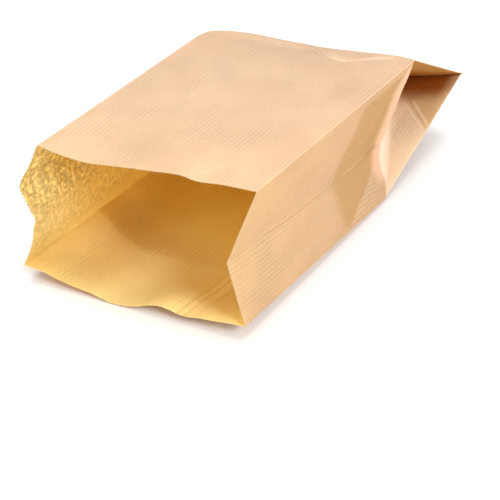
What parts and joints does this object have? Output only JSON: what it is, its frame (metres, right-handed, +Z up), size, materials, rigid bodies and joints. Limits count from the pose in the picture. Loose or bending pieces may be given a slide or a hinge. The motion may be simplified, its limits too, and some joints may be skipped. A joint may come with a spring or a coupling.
{
  "type": "paper bag",
  "caption": "Open side-gusset kraft paper bag with a zigzag-cut mouth and a pinched, folded and glued end, lying on its back panel.",
  "frame": {"origin": "on the surface the bag lies on, in the middle of the flat patch of its underside", "axes": "+X across the bag to the right corner of the mouth seen from the mouth, +Y from the mouth to the closed end, +Z up"},
  "size_m": [0.2074, 0.446, 0.1291],
  "materials": {
    "ribbed_kraft": "machine-glazed, slightly glossy, finely ribbed along the length"
  },
  "bodies": {
    "root": {"paper_bag": "ribbed_kraft"}
  },
  "joints": []
}
